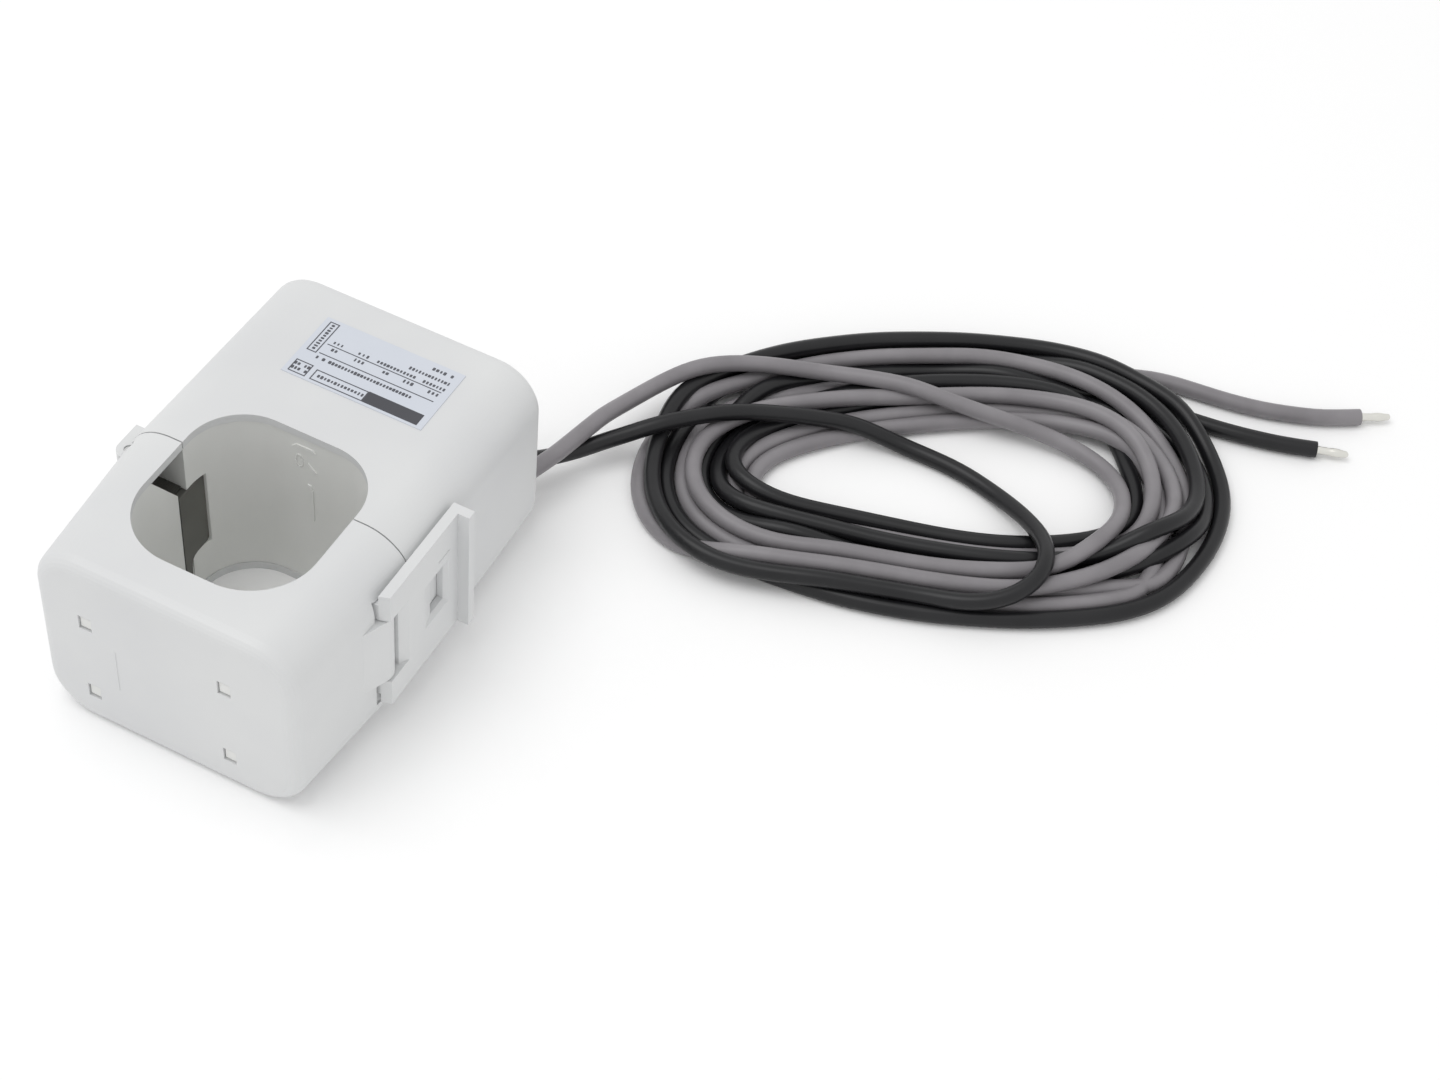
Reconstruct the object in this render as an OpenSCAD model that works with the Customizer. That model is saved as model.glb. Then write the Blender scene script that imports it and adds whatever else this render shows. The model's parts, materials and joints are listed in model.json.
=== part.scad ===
// Split-core current transformer: a hinged two-half case with a 36 mm window,
// a wound core inside, a side clip that holds the jaw shut, and two flying leads.
// Modules are written round the window's axis; placed() moves it to the stand point.

/* [Window] */
// Clear width of the window
win_w = 36; // [30:0.5:40]
// Clear length of the window
win_l = 38; // [34:0.5:44]
// Corner radius of the window in the jaw
win_r_jaw = 13; // [8:0.5:14]
// Corner radius of the window in the body
win_r_body = 11.5; // [8:0.5:14]

/* [Case] */
// Height of the case, along the window's axis
case_h = 43; // [41:0.5:50]
// Side wall of the ring at the parting plane, from the window to the outside
side_t = 11.9; // [11.5:0.1:14]
// How much each jaw side draws in towards the jaw's end
jaw_draft = 2.9; // [0:0.1:3]
// How much each body side draws in towards the lead end
body_draft = 0.8; // [0:0.1:3]
// Depth of the jaw beyond the window
jaw_depth = 9; // [9:0.5:14]
// Depth of the body beyond the window
body_depth = 36; // [34:0.5:48]
// Place of the parting plane, from the window's centre
part_y = 6; // [4:0.5:8]
// Radius of the long edges
edge_r = 9.5; // [7:0.5:10]
// Radius round the two end faces
end_r = 2.5; // [1.5:0.1:3]
// Thickness of the case walls
wall = 1.8; // [1.4:0.1:2]
// Gap that shows as the parting line
part_gap = 0.3; // [0.2:0.05:0.5]

/* [Inserts] */
// Thickness of the window lining and of the closing plates
liner_t = 1.2; // [0.8:0.1:1.3]
// Step from the window's edge in the case down to the lining
liner_step = 0.2; // [0.1:0.05:0.3]
// Clearance round the parts that sit in the case
seat_gap = 0.2; // [0.1:0.05:0.3]

/* [Core and winding] */
// Thickness of the core strip stack
core_t = 5.2; // [4:0.1:5.2]
// Height of the core along the window's axis
core_h = 15; // [12:0.5:15]
// Height of the core's middle above the base
core_z = 18.2; // [18:0.1:20]
// Air gap at the pole faces
pole_gap = 0.1; // [0.05:0.05:0.2]
// Thickness of the foam pad behind the jaw core
pad_t = 0.4; // [0.2:0.1:0.8]
// Wall of the bobbin
bobbin_t = 1; // [0.8:0.1:1.2]
// Build of the winding on each side of the core
winding_t = 5.5; // [4:0.1:6]
// Thickness of the insulating tape
tape_t = 0.3; // [0.2:0.05:0.5]
// Half length of the bobbin
bobbin_half = 17.3; // [14:0.1:17.5]

/* [Board] */
// Half width of the terminal board
board_half = 14; // [12:0.5:16]
// Height of the terminal board
board_h = 26; // [20:1:30]
// Thickness of the terminal board
board_t = 1.6; // [1.2:0.1:2]
// Radius of a solder post
post_r = 0.85; // [0.6:0.05:1]

/* [Hinge] */
// Radius of the hinge knuckles
knuckle_r = 2.4; // [2.2:0.05:2.5]
// Radius of the hinge pin
hinge_pin_r = 1; // [0.8:0.05:1.1]
// How far the knuckles stand out from the case side
knuckle_out = 0.6; // [0.4:0.1:0.8]
// Height of each hinge ear
ear_h = 7; // [5:0.5:8]
// Height of the lower ear's foot above the base
ear_z = 5; // [5:0.5:6]
// Running clearance of pins in their bores
run_gap = 0.05; // [0.02:0.01:0.08]
// Clearance between the halves at the hinge
hinge_gap = 0.3; // [0.25:0.05:0.4]

/* [Clip] */
// Lower edge of the clip above the base
clip_z = 9; // [8:0.5:10]
// Height of the clip
clip_h = 30; // [26:0.5:30]
// Thickness of the clip plate
clip_t = 2; // [1.8:0.1:2.4]
// Length of the clip beyond the parting plane
clip_l = 13.5; // [12:0.5:16]
// Reach of the clip's ears over the jaw
clip_reach = 10.3; // [9:0.1:11]
// Height of each clip ear
clip_ear_h = 6.5; // [4:0.5:7]
// Height that the finger lip stands out from the plate
lip_out = 2.4; // [1.5:0.1:3]
// Thickness of the finger lip
lip_t = 2; // [1.5:0.1:2.5]
// Radius of the clip's knuckles
clip_knuckle_r = 1.6; // [1.4:0.05:1.7]
// Radius of the clip's pin
clip_pin_r = 0.7; // [0.5:0.05:0.8]
// Width of the catch window
catch_w = 4.5; // [4:0.1:5]
// Height of the catch window
catch_h = 10; // [9:0.5:13]
// Rise of the catch tooth
tooth_rise = 0.5; // [0.2:0.05:0.55]
// How far the clip swings out, in degrees
clip_swing = 30; // [20:5:40]

/* [Leads] */
// Diameter of each lead
lead_d = 3.5; // [3:0.1:3.6]
// Distance between the two lead holes
lead_pitch = 4.4; // [4:0.1:5]
// Height of the lead holes above the base
lead_z = 9; // [8.5:0.5:10]
// Distance of the middle of the lead holes from the case side
lead_side = 7.6; // [7.2:0.1:10]
// How far the grommet stands out of the case
grommet_out = 2.5; // [2:0.1:3]
// Height of the coil of leads
coil_h = 9.6; // [8:0.1:11]
// Length of the bare tinned end
tip_l = 7; // [5:0.5:10]

/* [Label] */
// Width of the label
label_w = 30; // [20:0.5:34]
// Length of the label
label_l = 16.2; // [10:0.1:18]
// Thickness of the label
label_t = 0.15; // [0.1:0.05:0.3]
// Gap from the lead end of the case to the label
label_gap = 8.4; // [6:0.1:14]

/* [Hidden] */
$fn = 48;
eps = 0.01;
past = 5;
jaw_y = -win_l / 2 - jaw_depth;
body_y = win_l / 2 + body_depth;
half_w = win_w / 2 + side_t;
jaw_face_y = part_y - part_gap;
inner_top = case_h - wall;

liner_out = liner_step + liner_t;
core_in = liner_out + seat_gap;
core_out = core_in + core_t;
core_low = core_z - core_h / 2;
core_top = core_z + core_h / 2;
leg_in = win_w / 2 + core_in;
leg_out = leg_in + core_t;
pad_y = jaw_y + wall;

bobbin_in = seat_gap;
winding_in = bobbin_in + bobbin_t;
winding_out = winding_in + winding_t;
tape_out = winding_out + tape_t;
flange_out = tape_out + 0.4;
flange_t = 1.2;
yoke_y = win_l / 2 + liner_out + 0.4 + flange_out + core_t / 2;
yoke_r_out = 6;
yoke_r_in = 1;

board_y = yoke_y + core_t / 2 + flange_out + 1.6;
board_low = wall + 0.1;
post_x = 0.64 * board_half;
post_z = [core_z - board_h / 5, core_z + board_h / 5];
post_head_r = 1.75 * post_r;
post_head_t = board_t / 2;

hinge_x = -(half_w + knuckle_out - knuckle_r);
hinge_y = part_y - hinge_gap - knuckle_r;
ear_high_z = case_h - ear_z - ear_h;
ear_web = 1.6;
ear_swing_gap = 0.8;

clip_face = half_w - 0.6;
clip_seat = clip_face - 0.1;
clip_end = part_y + clip_l;
clip_tail = clip_end - clip_l - clip_reach;
clip_x = clip_face - 1.4;
clip_y = clip_tail + clip_knuckle_r;
clip_top = clip_z + clip_h;
clip_bridge_y = clip_y + 2 * clip_knuckle_r + 0.1;
bridge_gap = 0.3;
mid_knuckle_r = clip_bridge_y - clip_y - bridge_gap;
ramp_l = 6.8;
ramp_foot = 0.4;
bridge_slope = [0.9, 1.9];
catch_slope = 0.8;
catch_ramp = 3;
ear_short = 2.5;
ear_slant = 0.7;
catch_y = clip_end - 4 - catch_w;
catch_z = clip_z + (clip_h - catch_h) / 2;
catch_gap = 0.3;
clip_out = clip_face + clip_t;
lip_x = clip_out + lip_out;

slot_w = 2.7;
slot_h = 3.4;
slot_x = [-16.6, 12.4];
slot_rise = core_h / 2 + 0.4 + slot_h / 2;
hook_w = 2.3;
hook_h = 2.4;
hook_back = 0.4;
hook_foot = 0.3;

hinge_window_low = 11.5;
hinge_window_h = 18.5;
hinge_window_l = 5.3;
bevel_top = 0.4;
bevel_h = 10;
bevel_l = 7;

label_x = 2;
label_y = body_y - label_gap - label_l;

grommet_r = lead_d / 2 + 0.75;
lead_r = lead_d / 2;
lead_exit_y = body_y + grommet_out;
lead_x = half_w - body_draft - lead_side;
black_x = lead_x - lead_pitch / 2;
grey_x = lead_x + lead_pitch / 2;

box_low_x = hinge_x - knuckle_r;
stand_x = (box_low_x + lip_x) / 2;
stand_y = (jaw_y + lead_exit_y) / 2;

// Lead routes from the grommet to the coil and from the coil to the bare ends.
grey_route = [
    [grey_x, lead_exit_y, lead_z], [grey_x, lead_exit_y + 1.5, lead_z], [25.4, 62.5, 9], [26.4, 67, 9],
    [27.3, 72, 8.8], [28.4, 77, 8.6], [29.8, 83, 8.4], [31.6, 89, 8.2], [34.2, 95, 8.1]
];
black_route = [
    [black_x, lead_exit_y, lead_z], [black_x, lead_exit_y + 1.5, lead_z], [20.6, 62.5, 7.6], [23.6, 66.5, 5.4],
    [27, 71, 4.9], [31, 76, 5.6], [34.8, 80, 7], [38.6, 84.5, 8]
];
grey_end_route = [
    [121, 154.5, 3.4], [127, 156.6, 2.4], [133, 157.9, 1.9], [139, 159, 1.8], [147, 160.8, 1.8],
    [155, 164, 1.8], [163.5, 169.2, 1.8]
];
black_end_route = [
    [135, 148.2, 2.6], [140, 149.8, 1.9], [146, 151.3, 1.8], [152, 152.9, 1.8], [158.5, 155.2, 1.8]
];
coil_centre = [92.2, 107.1];
coil_turn = 23;
coil_outer = [122.8, 76.8, 34];
coil_inner = [75, 30, 13];

case_white = [0.88, 0.88, 0.88];
insert_grey = [0.72, 0.72, 0.71];
lead_grey = [0.5, 0.49, 0.5];
lead_black = [0.13, 0.13, 0.14];
steel_dark = [0.33, 0.33, 0.34];
copper = [0.72, 0.4, 0.2];
tin = [0.75, 0.76, 0.75];

module placed() {
    translate([-stand_x, -stand_y, 0]) children();
}

// The window's outline, grown outwards by d.
module window_outline(d = 0) {
    w = win_w / 2 + d;
    l = win_l / 2 + d;
    ra = win_r_jaw + d;
    rb = win_r_body + d;
    translate([-w, -l + ra]) square([2 * w, 2 * l - ra - rb]);
    translate([-w + ra, -l]) square([2 * (w - ra), l]);
    translate([-w + rb, 0]) square([2 * (w - rb), l]);
    for (s = [-1, 1]) {
        translate([s * (w - ra), -l + ra]) circle(r = ra, $fn = 96);
        translate([s * (w - rb), l - rb]) circle(r = rb, $fn = 96);
    }
}

module rounded_rect(w, h, r) {
    square([w - 2 * r, h], center = true);
    square([w, h - 2 * r], center = true);
    for (x = [-1, 1], z = [-1, 1])
        translate([x * (w / 2 - r), z * (h / 2 - r)]) circle(r = r);
}

// One half of the case as a solid, drawn in towards its end. inset shrinks it on every closed side.
module half_solid(y_open, y_end, draft, inset = 0) {
    s = sign(y_end - y_open);
    run = abs(y_end - y_open);
    r = max(end_r - inset, 0.5);
    steps = [for (a = [0 : 18 : 90]) [r * sin(a), r * (1 - cos(a))]];
    places = concat([[0, 0]], [for (p = steps) [run - inset - r + p[0], p[1]]]);
    hull() for (p = places) {
        pull = inset + p[1];
        translate([0, y_open + s * p[0], case_h / 2]) rotate([90, 0, 0])
            linear_extrude(eps, center = true) rounded_rect(
                2 * (half_w - draft * p[0] / run - pull), case_h - 2 * pull,
                edge_r - pull, $fn = 80);
    }
}

// The closing plate at the parting plane, inside one half of the case, without the window.
module closing_plate(y_low) {
    difference() {
        translate([0, y_low + liner_t / 2, case_h / 2]) rotate([90, 0, 0])
            linear_extrude(liner_t, center = true)
                rounded_rect(2 * (half_w - wall - 0.35), case_h - 2 * wall - 0.2, edge_r - wall - 0.1);
        translate([0, 0, -1]) linear_extrude(case_h + 2) window_outline(liner_step);
        for (s = [-1, 1])
            translate([s * (leg_in + leg_out) / 2, y_low + liner_t / 2, core_z])
                cube([core_t + 2 * seat_gap, liner_t + 1, core_h + 2 * seat_gap], center = true);
    }
}

// The lining of the window between two heights along Y.
module lining(y_low, y_high) {
    intersection() {
        translate([0, 0, wall + 0.05]) linear_extrude(case_h - 2 * wall - 0.1) difference() {
            window_outline(liner_out);
            window_outline(liner_step);
        }
        translate([-half_w, y_low, 0]) cube([2 * half_w, y_high - y_low, case_h]);
    }
}

// The band of height that one hinge ear fills, with room above and below it.
module ear_bands(gap = 0) {
    for (z = [ear_z, ear_high_z])
        translate([0, 0, z - gap]) linear_extrude(ear_h + 2 * gap) children();
}

// The two bands of height that the clip's ears fill, each made shorter at its outer end.
module clip_bands(gap = 0, short = 0) {
    for (z = [clip_z + short, clip_top - clip_ear_h])
        translate([0, 0, z - gap]) linear_extrude(clip_ear_h - short + 2 * gap) children();
}

module hinge_ear_outline() {
    translate([hinge_x, hinge_y]) {
        circle(r = knuckle_r);
        translate([-knuckle_r, 0]) square([knuckle_r + ear_web, part_y - hinge_y + 3]);
    }
}

// The raised seat on the body side that the clip lies on.
module clip_pad() {
    low = clip_z + 0.5;
    high = clip_z + clip_h - 3;
    translate([half_w - 4, part_y + 3, 0]) rotate([90, 0, 90])
        linear_extrude(clip_seat - half_w + 4) polygon([
            [0, low], [clip_l + 2, low], [clip_l + 2, high], [0.35 * clip_l, high + 0.3], [0, high - 1.4]
        ]);
}

module core_ribs() {
    rib_y = yoke_y - core_t / 2 - 5;
    for (s = [-1, 1]) {
        translate([s * (leg_in + core_t / 2), rib_y, (wall + core_low) / 2 - 0.1])
            cube([core_t, 4, core_low - wall + 0.2], center = true);
        translate([s * (leg_in + core_t / 2), rib_y, (core_top + inner_top) / 2 + 0.05])
            cube([core_t, 4, inner_top - core_top + 0.1], center = true);
    }
}

module board_rails() {
    for (s = [-1, 1]) difference() {
        translate([s * (board_half + 0.6), board_y + board_t / 2, wall - 0.2 + board_h / 2])
            cube([3, board_t + 1.8, board_h], center = true);
        translate([s * (board_half - 1.5 + seat_gap), board_y + board_t / 2, board_low + case_h / 2 - 0.1])
            cube([3, board_t + 2 * 0.1, case_h], center = true);
    }
}

// The jaw's knuckle between the clip's ears, with its ramp down to the case side.
module mid_knuckle() {
    low = clip_z + clip_ear_h + bridge_gap;
    translate([clip_x, clip_y, low]) linear_extrude(clip_h - 2 * (clip_ear_h + bridge_gap)) polygon(concat(
        [[-1, -ramp_l], [ramp_foot, -ramp_l]],
        [for (a = [-22.5 : 7.5 : 90]) mid_knuckle_r * [cos(a), sin(a)]],
        [[-1, mid_knuckle_r]]
    ));
}

module catch_tooth() {
    low = catch_y + 0.6;
    high = catch_y + catch_w - catch_gap;
    translate([0, 0, catch_z + 0.7]) linear_extrude(catch_h - 1.4) polygon([
        [clip_seat - 0.3, low], [clip_seat + tooth_rise, low], [clip_seat, high], [clip_seat - 0.3, high]
    ]);
}

module body_case() {
    color(case_white) difference() {
        union() {
            difference() {
                half_solid(part_y, body_y, body_draft);
                half_solid(part_y - eps, body_y, body_draft, wall);
            }
            intersection() {
                half_solid(part_y, body_y, body_draft, wall / 2);
                union() {
                    core_ribs();
                    board_rails();
                }
            }
            ear_bands() hinge_ear_outline();
            clip_pad();
        }
        translate([0, 0, -1]) linear_extrude(case_h + 2) window_outline();
        translate([clip_seat, part_y - 1, clip_z - 0.5]) cube([5, clip_end + 3 - part_y, clip_h + 1]);
        translate([hinge_x, hinge_y, 0]) cylinder(r = hinge_pin_r + run_gap / 2, h = case_h);
        translate([0, body_y, lead_z]) rotate([90, 0, 0])
            linear_extrude(4 * wall, center = true) grommet_outline(seat_gap / 2);
    }
    color(case_white) catch_tooth();
}

module body_insert() {
    color(insert_grey) difference() {
        union() {
            lining(part_y, body_y);
            closing_plate(part_y);
        }
        translate([-win_w / 2 - liner_out - 1, part_y - 1, hinge_window_low])
            cube([liner_out + 3, hinge_window_l + 1, hinge_window_h]);
        ear_bands(seat_gap) translate([box_low_x, part_y - 1])
            square([hinge_x + ear_web + seat_gap - box_low_x, 5]);
    }
}

module body_core() {
    depth = yoke_y + core_t / 2 - part_y;
    color(steel_dark) translate([0, 0, core_low]) linear_extrude(core_h) difference() {
        union() {
            translate([-leg_out, part_y]) square([2 * leg_out, depth - yoke_r_out]);
            translate([-leg_out + yoke_r_out, part_y]) square([2 * (leg_out - yoke_r_out), depth]);
            for (s = [-1, 1])
                translate([s * (leg_out - yoke_r_out), part_y + depth - yoke_r_out]) circle(r = yoke_r_out);
        }
        translate([-leg_in, part_y - 1]) square([2 * leg_in, depth - core_t + 1 - yoke_r_in]);
        translate([-leg_in + yoke_r_in, part_y - 1])
            square([2 * (leg_in - yoke_r_in), depth - core_t + 1]);
        for (s = [-1, 1])
            translate([s * (leg_in - yoke_r_in), part_y + depth - core_t - yoke_r_in]) circle(r = yoke_r_in);
    }
}

// A sleeve round the yoke: from d_in to d_out beyond the core, between two places along X.
module yoke_sleeve(x_low, x_high, d_in, d_out, r = 1) {
    translate([x_low, yoke_y, core_z]) rotate([90, 0, 90]) linear_extrude(x_high - x_low) difference() {
        rounded_rect(core_t + 2 * d_out, core_h + 2 * d_out, r);
        square([core_t + 2 * d_in, core_h + 2 * d_in], center = true);
    }
}

module bobbin() {
    color([0.2, 0.2, 0.2]) union() {
        yoke_sleeve(-bobbin_half, bobbin_half, bobbin_in, winding_in, 0.6);
        yoke_sleeve(-bobbin_half, -bobbin_half + flange_t, bobbin_in, flange_out, 2);
        yoke_sleeve(bobbin_half - flange_t, bobbin_half, bobbin_in, flange_out, 2);
    }
}

module secondary_winding() {
    color(copper)
        yoke_sleeve(-bobbin_half + flange_t + 0.1, bobbin_half - flange_t - 0.1, winding_in + 0.02, winding_out, 3);
}

module winding_tape() {
    color([0.85, 0.7, 0.2]) translate([-bobbin_half + flange_t + 0.3, yoke_y, core_z]) rotate([90, 0, 90])
        linear_extrude(2 * (bobbin_half - flange_t - 0.3)) difference() {
            rounded_rect(core_t + 2 * tape_out, core_h + 2 * tape_out, 3 + tape_t);
            rounded_rect(core_t + 2 * winding_out, core_h + 2 * winding_out, 3);
        }
}

module winding_tails() {
    start = yoke_y + core_t / 2 + tape_out;
    color(copper) for (s = [-1, 1])
        translate([s * post_x, start, post_z[0]]) rotate([-90, 0, 0])
            cylinder(r = 0.4, h = board_y - post_head_t - start);
}

module terminal_board() {
    color([0.1, 0.35, 0.2]) difference() {
        translate([-board_half, board_y, board_low]) cube([2 * board_half, board_t, board_h]);
        for (s = [-1, 1], z = post_z)
            translate([s * post_x, board_y - 1, z]) rotate([-90, 0, 0]) cylinder(r = post_r + run_gap, h = board_t + 2);
    }
}

module solder_posts() {
    color(tin) for (s = [-1, 1], z = post_z) translate([s * post_x, board_y, z]) rotate([-90, 0, 0]) {
        translate([0, 0, -post_head_t]) cylinder(r = post_head_r, h = post_head_t);
        cylinder(r = post_r, h = board_t);
        translate([0, 0, board_t]) cylinder(r1 = post_head_r, r2 = post_r, h = post_head_t);
    }
}

module grommet_outline(d = 0) {
    translate([lead_x - lead_pitch / 2, -grommet_r - d]) square([lead_pitch, 2 * (grommet_r + d)]);
    for (x = [black_x, grey_x]) translate([x, 0]) circle(r = grommet_r + d);
}

module lead_grommet() {
    color(lead_black) difference() {
        union() {
            translate([0, lead_exit_y, lead_z]) rotate([90, 0, 0])
                linear_extrude(grommet_out + wall + 1) grommet_outline();
            translate([0, body_y - wall, lead_z]) rotate([90, 0, 0]) linear_extrude(0.9) grommet_outline(0.6);
        }
        for (x = [black_x, grey_x])
            translate([x, body_y - wall - past, lead_z]) rotate([-90, 0, 0])
                cylinder(r = lead_r + run_gap, h = grommet_out + wall + 2 * past);
    }
}

// Inside the body a lead lies along the board at height run_z and turns out through the grommet.
module inner_lead(x, start_x, run_z) {
    run_y = board_y + board_t + post_head_t + lead_r + 0.3;
    bend_r = body_y - wall - 2 - run_y;
    tube(concat(
        [[start_x, run_y, post_z[0]], [start_x + 3, run_y, post_z[0]]],
        [[start_x + 3 + 0.6 * (x - bend_r - start_x - 3), run_y, run_z]],
        [for (a = [0 : 30 : 90])
            [x - bend_r * (1 - sin(a)), run_y + bend_r * (1 - cos(a)), run_z + (lead_z - run_z) * a / 90]],
        [[x, body_y - wall - 0.2, lead_z], [x, lead_exit_y, lead_z]]
    ), lead_r);
}

module grey_inner_lead() {
    color(lead_grey) inner_lead(grey_x, post_x - 1, post_z[0] - 0.4);
}

module black_inner_lead() {
    color(lead_black) inner_lead(black_x, -post_x - 1, wall + lead_d);
}

module label() {
    color([0.83, 0.84, 0.9]) translate([label_x - label_w / 2, label_y, case_h]) cube([label_w, label_l, label_t]);
}

module hinge_pin() {
    color(tin) translate([hinge_x, hinge_y, ear_z + 0.2])
        cylinder(r = hinge_pin_r, h = ear_high_z + ear_h - ear_z - 0.4);
}

// The clip's ear behind its pin, from a place along X outwards, in the jaw's plan.
module clip_tail_outline(from, gap = 0) {
    polygon([
        [from - gap, 0], [from - gap, -clip_knuckle_r - gap], [clip_face - clip_x, -clip_knuckle_r - gap],
        [clip_out - clip_x + gap, -clip_knuckle_r + ear_slant - gap], [clip_out - clip_x + gap, 0]
    ]);
}

module jaw_case() {
    block_in = leg_out + 0.25;
    color(case_white) difference() {
        union() {
            difference() {
                half_solid(jaw_face_y, jaw_y, jaw_draft);
                half_solid(jaw_face_y + eps, jaw_y, jaw_draft, wall);
            }
            intersection() {
                half_solid(jaw_face_y, jaw_y, jaw_draft, wall / 2);
                union() {
                    translate([-half_w, hinge_y - knuckle_r - 2, ear_z - 0.6])
                        cube([half_w - block_in, jaw_face_y - hinge_y + knuckle_r + 2, case_h - 2 * ear_z + 1.2]);
                    translate([block_in, clip_y - 4.6, clip_z - 2])
                        cube([half_w - block_in, jaw_face_y - clip_y + 4.6, clip_h + 4]);
                }
            }
            mid_knuckle();
        }
        translate([0, 0, -1]) linear_extrude(case_h + 2) window_outline();
        translate([-half_w - 3, hinge_y, -1]) cube([half_w + 3 + hinge_x, part_y, case_h + 2]);
        ear_bands(hinge_gap) translate([hinge_x, hinge_y]) {
            circle(r = knuckle_r + ear_swing_gap);
            translate([-5, 0]) square([5 + ear_web + hinge_gap, part_y]);
        }
        clip_bands(hinge_gap) {
            translate([clip_seat - 0.1, clip_tail - 0.2]) square([past, part_y - clip_tail + 1]);
            for (a = [0 : 6 : clip_swing])
                translate([clip_x, clip_y]) rotate(-a) clip_tail_outline(clip_face - clip_x, 0.2);
        }
        clip_bands(hinge_gap, ear_short) translate([clip_x, clip_y]) {
            circle(r = clip_knuckle_r + 0.4);
            translate([0, -clip_knuckle_r - 0.2]) square([clip_face - clip_x + 0.3, 2 * clip_knuckle_r + 0.5]);
            for (a = [0 : 6 : clip_swing]) rotate(-a) clip_tail_outline(0, 0.2);
        }
        translate([clip_seat - 0.1, clip_y + mid_knuckle_r, clip_z - 0.5]) cube([past, 2 * past, clip_h + 1]);
        translate([clip_x, clip_y, clip_z + ear_short]) cylinder(r = clip_pin_r + run_gap / 2, h = clip_h - 2 * ear_short);
        for (x = slot_x, s = [-1, 1])
            translate([x, jaw_y, core_z + s * slot_rise]) cube([slot_w, 4 * wall, slot_h], center = true);
        translate([hinge_x, hinge_y, 0]) cylinder(r = hinge_pin_r + run_gap, h = case_h);
    }
    color(case_white) difference() {
        translate([hinge_x, hinge_y, ear_z + ear_h + hinge_gap])
            cylinder(r = knuckle_r, h = ear_high_z - ear_z - ear_h - 2 * hinge_gap);
        translate([hinge_x, hinge_y, 0]) cylinder(r = hinge_pin_r + run_gap, h = case_h);
    }
}

// One snap hook: an arm from the lining, over or under the core, into a slot in the end wall.
module snap_hook(x, s) {
    translate([x, 0, core_z + s * slot_rise]) difference() {
        translate([-hook_w / 2, jaw_y + hook_back, -slot_h / 2 + hook_foot])
            cube([hook_w, -jaw_y - win_l / 2 + win_r_jaw / 2, hook_h]);
        translate([-x, 0, -past]) linear_extrude(2 * past) window_outline(liner_step + 0.3);
    }
}

module jaw_insert() {
    edge_y = jaw_face_y - 2 * liner_t;
    color(insert_grey) difference() {
        union() {
            lining(jaw_y, jaw_face_y);
            closing_plate(jaw_face_y - liner_t);
            for (x = slot_x, s = [-1, 1]) snap_hook(x, s);
        }
        translate([-win_w / 2 - liner_out - eps, edge_y, core_low - 2])
            cube([liner_out + 2, past, case_h - wall - bevel_top - core_low + 2]);
        translate([-win_w / 2 - liner_out - eps, edge_y, case_h - wall - bevel_top - bevel_h]) rotate([0, 90, 0])
            linear_extrude(liner_out + 2) polygon([[0, 0], [-bevel_h, -bevel_l], [-bevel_h, past], [0, past]]);
        translate([-half_w, jaw_face_y - liner_t - eps, core_top]) cube([half_w - win_w / 2, past, case_h]);
        ear_bands(hinge_gap) translate([box_low_x, hinge_y - knuckle_r - 1])
            square([-leg_out - eps - box_low_x, 2 * past]);
        translate([-half_w, jaw_face_y - 2 * liner_t, ear_z - 1])
            cube([half_w - leg_out - eps, past, case_h - 2 * ear_z + 2]);
        translate([leg_out + eps, jaw_face_y - 2 * liner_t, clip_z - 2.2])
            cube([half_w - leg_out, past, clip_h + 4.4]);
    }
}

module jaw_core() {
    color(steel_dark) intersection() {
        translate([0, 0, core_low]) linear_extrude(core_h) difference() {
            window_outline(core_out);
            window_outline(core_in);
        }
        translate([-half_w, jaw_y, 0]) cube([2 * half_w, part_y - pole_gap - jaw_y, case_h]);
    }
}

module core_pad() {
    pad_half = win_w / 2 - win_r_jaw - 0.5;
    color([0.15, 0.15, 0.15]) translate([-pad_half, pad_y, core_low + 1])
        cube([2 * pad_half, -win_l / 2 - core_out - pad_y, core_h - 2]);
}

module latch_clip() {
    color(case_white) difference() {
        union() {
            translate([clip_face, clip_bridge_y, clip_z]) linear_extrude(clip_h) polygon([
                [0, 0], [bridge_slope[0], 0], [clip_t, bridge_slope[1]],
                [clip_t, clip_end - clip_bridge_y], [0, clip_end - clip_bridge_y]
            ]);
            translate([clip_face, clip_end - eps, clip_z]) cube([clip_t + lip_out, lip_t, clip_h]);
            clip_bands() {
                translate([clip_face, clip_y]) square([clip_t, clip_bridge_y + bridge_slope[1] - clip_y]);
                translate([clip_x, clip_y]) clip_tail_outline(clip_face - clip_x);
            }
            clip_bands(0, ear_short) translate([clip_x, clip_y]) {
                translate([0, -clip_knuckle_r]) square([clip_face - clip_x + eps, 2 * clip_knuckle_r]);
                circle(r = clip_knuckle_r);
            }
        }
        translate([clip_face - 1, catch_y, catch_z]) cube([clip_t + 2, catch_w, catch_h]);
        hull() { // slopes round the catch window, longest on the pin's side
            translate([clip_out - catch_slope, catch_y, catch_z]) cube([eps, catch_w, catch_h]);
            translate([clip_out, catch_y - catch_ramp, catch_z - catch_slope])
                cube([1, catch_w + catch_ramp + catch_slope, catch_h + 2 * catch_slope]);
        }
        translate([clip_x, clip_y, 0]) cylinder(r = clip_pin_r + run_gap, h = case_h);
    }
}

module latch_pin() {
    color(tin) translate([clip_x, clip_y, clip_z + ear_short + 0.2])
        cylinder(r = clip_pin_r, h = clip_h - 2 * ear_short - 0.4);
}

function along(points, i) =
    let (last = len(points) - 1, d = points[min(i + 1, last)] - points[max(i - 1, 0)]) d / norm(d);

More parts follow.
